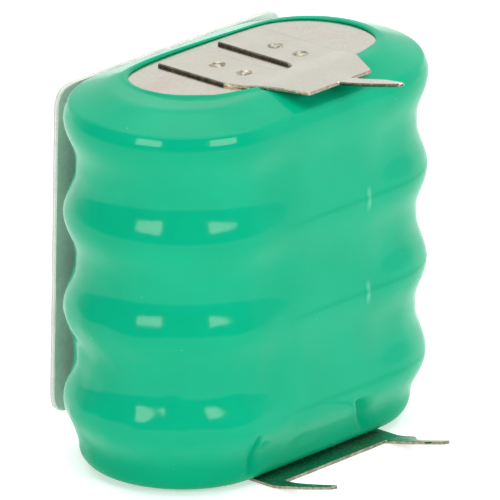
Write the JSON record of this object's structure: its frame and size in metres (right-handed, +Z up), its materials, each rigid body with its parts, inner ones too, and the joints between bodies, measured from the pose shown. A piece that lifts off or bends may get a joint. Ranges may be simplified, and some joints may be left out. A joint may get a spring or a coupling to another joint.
{
  "type": "rechargeable button cell pack",
  "caption": "Stack of oval rechargeable button cells in a scalloped green shrink sleeve, with slotted nickel solder tabs on both ends and a self-adhesive pad on the flat back.",
  "frame": {"origin": "on the stack axis, in the plane that the pack stands on, the underside of the lower solder tab", "axes": "+X along the long side of the oval, -Y the way the solder pins point, +Y towards the adhesive pad, +Z up the stack from the lid end to the closed can end"},
  "size_m": [0.0258, 0.0195, 0.0254],
  "materials": {
    "sleeve_film": "glossy green shrink film",
    "tab_nickel": "satin nickel sheet with sheared edges",
    "nickel_can": "satin nickel-plated steel",
    "ring_plastic": "moulded polyamide",
    "positive_mass": "pressed black-green powder",
    "separator_felt": "bonded felt",
    "negative_mass": "pressed dark alloy powder",
    "spring_nickel": "bright rolled spring strip",
    "link_nickel": "satin nickel strip",
    "adhesive": "clear tacky acrylic",
    "pad_carrier": "pale grey film",
    "liner_paper": "smooth siliconised paper"
  },
  "bodies": {
    "root": {"sleeve": "sleeve_film", "positive_tab": "tab_nickel", "negative_tab": "tab_nickel", "pad_inner_adhesive": "adhesive", "pad_carrier": "pad_carrier", "pad_outer_adhesive": "adhesive", "pad_release_liner": "liner_paper", "cell_link_1": "link_nickel", "cell_link_2": "link_nickel", "cell_link_3": "link_nickel", "can_1": "nickel_can", "can_2": "nickel_can", "can_3": "nickel_can", "can_4": "nickel_can", "lid_1": "nickel_can", "lid_2": "nickel_can", "lid_3": "nickel_can", "lid_4": "nickel_can", "sealing_ring_1": "ring_plastic", "sealing_ring_2": "ring_plastic", "sealing_ring_3": "ring_plastic", "sealing_ring_4": "ring_plastic", "positive_electrode_1": "positive_mass", "positive_electrode_2": "positive_mass", "positive_electrode_3": "positive_mass", "positive_electrode_4": "positive_mass", "separator_1": "separator_felt", "separator_2": "separator_felt", "separator_3": "separator_felt", "separator_4": "separator_felt", "negative_electrode_1": "negative_mass", "negative_electrode_2": "negative_mass", "negative_electrode_3": "negative_mass", "negative_electrode_4": "negative_mass", "contact_spring_1": "spring_nickel", "contact_spring_2": "spring_nickel", "contact_spring_3": "spring_nickel", "contact_spring_4": "spring_nickel"}
  },
  "joints": []
}
